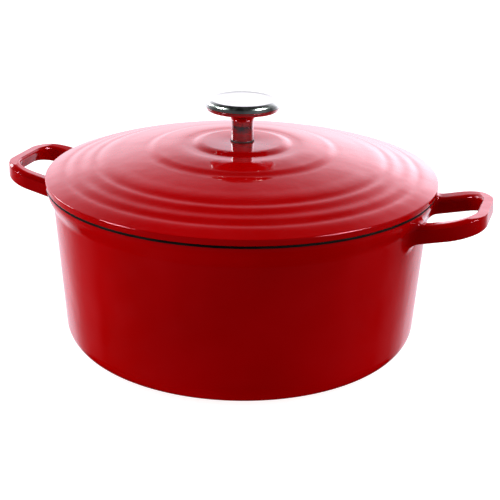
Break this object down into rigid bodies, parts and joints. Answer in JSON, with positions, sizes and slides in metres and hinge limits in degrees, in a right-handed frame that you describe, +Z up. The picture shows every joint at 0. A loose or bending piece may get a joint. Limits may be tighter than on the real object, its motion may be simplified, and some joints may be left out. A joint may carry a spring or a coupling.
{
  "type": "dutch oven",
  "caption": "Round enamelled cast iron dutch oven with cast loop handles, a domed ringed lift-off lid and a mushroom steel knob.",
  "frame": {"origin": "centre of the underside of the pot's base, where it rests", "axes": "+Z up along the pot's axis; +X and -X through the two loop handles"},
  "size_m": [0.3694, 0.29, 0.1829],
  "materials": {
    "red_enamel": "gloss vitreous enamel over cast iron",
    "cream_enamel": "gloss cream vitreous enamel",
    "black_enamel": "matt black enamel",
    "black_rubber": "matt",
    "polished_steel": "polished stainless steel",
    "satin_steel": "fine satin stainless steel with a polished rim",
    "zinc_steel": "plain zinc plated"
  },
  "bodies": {
    "pot": {"pot_casting": "red_enamel", "pot_lining": "cream_enamel", "pot_rim_coat": "black_enamel"},
    "lid": {"lid_casting": "red_enamel", "lid_lining": "cream_enamel", "knob_gasket": "black_rubber", "knob_stem": "polished_steel", "knob_cap": "satin_steel", "flat_washer": "zinc_steel", "spring_washer": "zinc_steel", "knob_screw": "zinc_steel"}
  },
  "joints": [
    {"name": "lid_lift", "type": "slide", "parent": "pot", "child": "lid", "axis": [0, 0, 1], "range_m": [0, 0.2]}
  ]
}
